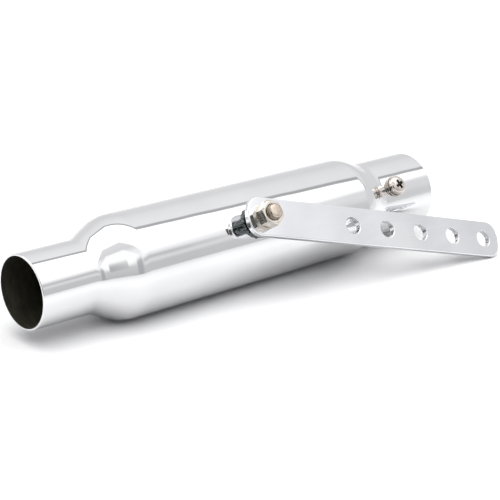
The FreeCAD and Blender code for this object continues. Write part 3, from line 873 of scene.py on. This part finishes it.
def hex_nut(name, M, af, z0, h, rot, major, pitch, mats):
    rho = 0.35
    a_in = af / 2 - rho
    ang, rad = [], []
    for k in range(6):
        mid = math.radians(rot + 30 + 60 * k)           # flat k's outward direction
        d, tdir = np.array([math.cos(mid), math.sin(mid)]), np.array([-math.sin(mid), math.cos(mid)])
        half = a_in * math.tan(math.radians(30))
        for j in range(11):
            q = d * (a_in + rho) + tdir * (-half + 2 * half * j / 10)
            ang.append(math.atan2(q[1], q[0]))
            rad.append(np.linalg.norm(q))
        c = d * a_in + tdir * half
        for j in range(1, 5):
            an = mid + math.radians(60 * j / 5)
            q = c + rho * np.array([math.cos(an), math.sin(an)])
            ang.append(math.atan2(q[1], q[0]))
            rad.append(np.linalg.norm(q))
    ang, rad = np.unwrap(np.array(ang)), np.array(rad)
    r_face = af / 2 * 0.95
    tan30 = math.tan(math.radians(30))
    one = np.ones_like(ang)
    drop = np.clip((rad - r_face) * tan30, 0, None)
    crest = 4.25

    def bore(z):
        t = np.abs(((z / pitch - ang / (2 * math.pi)) + 0.5) % 1.0 - 0.5) * pitch
        return np.maximum(np.clip(major + 0.10 - (t - pitch / 16) * 1.732, major - 1.2, major + 0.10), crest)

    rings = []
    z1 = z0 + h
    rings += [(5.35 * one, z0 * one)]
    nz = 64
    for i in range(nz + 1):
        z = z0 + 0.05 + (h - 0.1) * i / nz
        open_r = np.maximum(5.35 - (z - z0) * 1.0, 5.35 - (z1 - z) * 1.0)
        rings.append((np.maximum(bore(z), open_r), z * one))
    rings += [(5.35 * one, z1 * one), (6.4 * one, z1 * one), (r_face * one - 0.12, z1 * one)]
    for f in (0.0, 0.5, 1.0):
        rr = r_face + (rad - r_face) * f
        rings.append((rr, z1 - 0.02 - (rr - r_face) * tan30))
    for f in (0.12, 0.5, 0.88):
        rings.append((rad, (z1 - drop) * (1 - f) + (z0 + drop) * f))
    for f in (1.0, 0.5, 0.0):
        rr = r_face + (rad - r_face) * f
        rings.append((rr, z0 + 0.02 + (rr - r_face) * tan30))
    rings += [(r_face * one - 0.12, z0 * one), (6.4 * one, z0 * one)]
    ob = polar_solid(name, ang, rings, M, mats, 24)
    n = len(ang)
    # the bore's faces take the darker thread finish: painted shade inside the nut's bore
    ob.data.polygons.foreach_set("material_index", [1 if i // n <= nz + 1 else 0 for i in range(len(ob.data.polygons))])
    return ob


nut = hex_nut("strap_nut", AT_STUD, 14.5, 1.2, 7.3, -8.0, STUD_R, 1.5, [M_NUT, M_THREAD_PAINTED_SHADE])
finish_piece(nut, "bracket_nut", "hardware_nickel", "bracket_nut")

# ------------------------------------------------------------------ retaining screw in the outlet neck
HEAD_R, HEAD_H = 6.3, 3.5
seat = float(np.dot(SCREW, N))


def make_screw():
    prof = [(0.0, 0.0), (0.0, HEAD_R), (0.9, HEAD_R)]
    pts = [np.array(p) for p in [(0.0, 2.9), (0.0, HEAD_R - 0.25)]]
    for k in range(1, 5):
        t = math.radians(90 * k / 4)
        pts.append(np.array([0.25 - 0.25 * math.cos(t), HEAD_R - 0.25 + 0.25 * math.sin(t)]))
    n = 30
    for k in range(n + 1):
        t = math.radians(90 * k / n)
        pts.append(np.array([1.0 + (HEAD_H - 1.0) * math.sin(t) ** 0.90, HEAD_R * (math.cos(t) ** 0.50 if k < n else 0.0)]))
    seg = 120
    th = np.linspace(0, 2 * math.pi, seg, endpoint=False)
    rows = [np.stack([p[1] * np.cos(th), p[1] * np.sin(th), np.full(seg, p[0])], 1) for p in pts[:-1]]
    V = np.concatenate(rows)
    F = grid_faces(len(rows), seg)
    nv = len(V)
    V = np.vstack([V, [[0, 0, HEAD_H]], [[0, 0, 0]]])
    last = (len(rows) - 1) * seg
    F += [(last + j, last + (j + 1) % seg, nv) for j in range(seg)]
    F += [((j + 1) % seg, j, nv + 1) for j in range(seg)]
    head = plain_mesh("retaining_screw_head", V, F, AT_SCREW, [M_SCREW], 50)
    # cross recess, tapering in depth; its faces carry a dark steel that is painted shade in the recess
    bm = bmesh.new()
    for k in range(2):
        a = math.radians(90 * k + 20)
        ca, sa = math.cos(a), math.sin(a)
        ring = []
        for z, L, w in ((HEAD_H + 0.6, 3.75, 1.08), (HEAD_H - 1.15, 2.6, 0.80), (HEAD_H - 2.1, 1.1, 0.5)):
            ring.append([bm.verts.new(AT_SCREW @ Vector((ca * u - sa * v, sa * u + ca * v, z)) * MM) for u, v in ((-L, -w), (L, -w), (L, w), (-L, w))])
        for r0, r1 in zip(ring, ring[1:]):
            for j in range(4):
                bm.faces.new((r0[j], r0[(j + 1) % 4], r1[(j + 1) % 4], r1[j]))
        bm.faces.new(ring[0][::-1])
        bm.faces.new(ring[-1])
    bmesh.ops.recalc_face_normals(bm, faces=bm.faces)
    me = bpy.data.meshes.new("recess_tool")
    bm.to_mesh(me)
    bm.free()
    me.materials.append(M_RECESS_PAINTED_SHADE)
    tool = add_object("recess_tool", me)
    md = head.modifiers.new("recess", "BOOLEAN")
    md.operation, md.object, md.solver, md.use_self, md.material_mode = "DIFFERENCE", tool, "EXACT", True, "TRANSFER"
    apply_modifiers(head)
    bpy.data.objects.remove(tool)
    bm = bmesh.new()
    bm.from_mesh(head.data)
    bmesh.ops.remove_doubles(bm, verts=bm.verts, dist=4e-6)
    bmesh.ops.dissolve_degenerate(bm, edges=bm.edges, dist=4e-6)
    bmesh.ops.triangulate(bm, faces=bm.faces)
    bmesh.ops.dissolve_degenerate(bm, edges=bm.edges, dist=2e-6)
    bm.to_mesh(head.data)
    bm.free()
    head.data.polygons.foreach_set("use_smooth", [True] * len(head.data.polygons))
    head.data.set_sharp_from_angle(angle=math.radians(38))
    return head


head = make_screw()
finish_piece(head, "retaining_screw", "hardware_nickel", "retaining_screw")
shank = threaded_rod("retaining_screw_shank", AT_SCREW, 16.3 - seat, -0.10, 2.95, 1.0, 0.61, [M_SCREW], top="flat", seg=72, per=12)
finish_piece(shank, "retaining_screw", "hardware_nickel")
SS_T, SW_T = 1.3, 1.0
finish_piece(flat_washer("screw_flat_washer_turned", AT_SCREW, 6.8, 3.2, -SS_T - SW_T, SW_T, [M_WASHER], 0.2), "screw_washers", "hardware_nickel", "screw_flat_washer")
finish_piece(split_washer("screw_spring_washer_split", AT_SCREW, 5.4, 3.2, -SS_T, SS_T, 200, 12.0, [M_WASHER]), "screw_washers", "hardware_nickel", "screw_spring_washer")

# ------------------------------------------------------------------ finishes of the CAD nodes that stay as they are
kept = {
    M_ROOT: ["inlet_seam_weld", "outlet_seam_weld"],
    M_INNER: ["core_tube", "core_front_ring", "core_rear_ring", "screw_weld_nut"],
    M_BAFFLE: ["baffle_tube", "baffle_nose_cap", "baffle_centring_ring", "baffle_plug", "baffle_collar"],
    M_FIBRE: ["glass_packing"],
}
for mat, names in kept.items():
    for nm in names:
        ob = nodes[nm]
        for s in ob.material_slots:
            s.material = mat
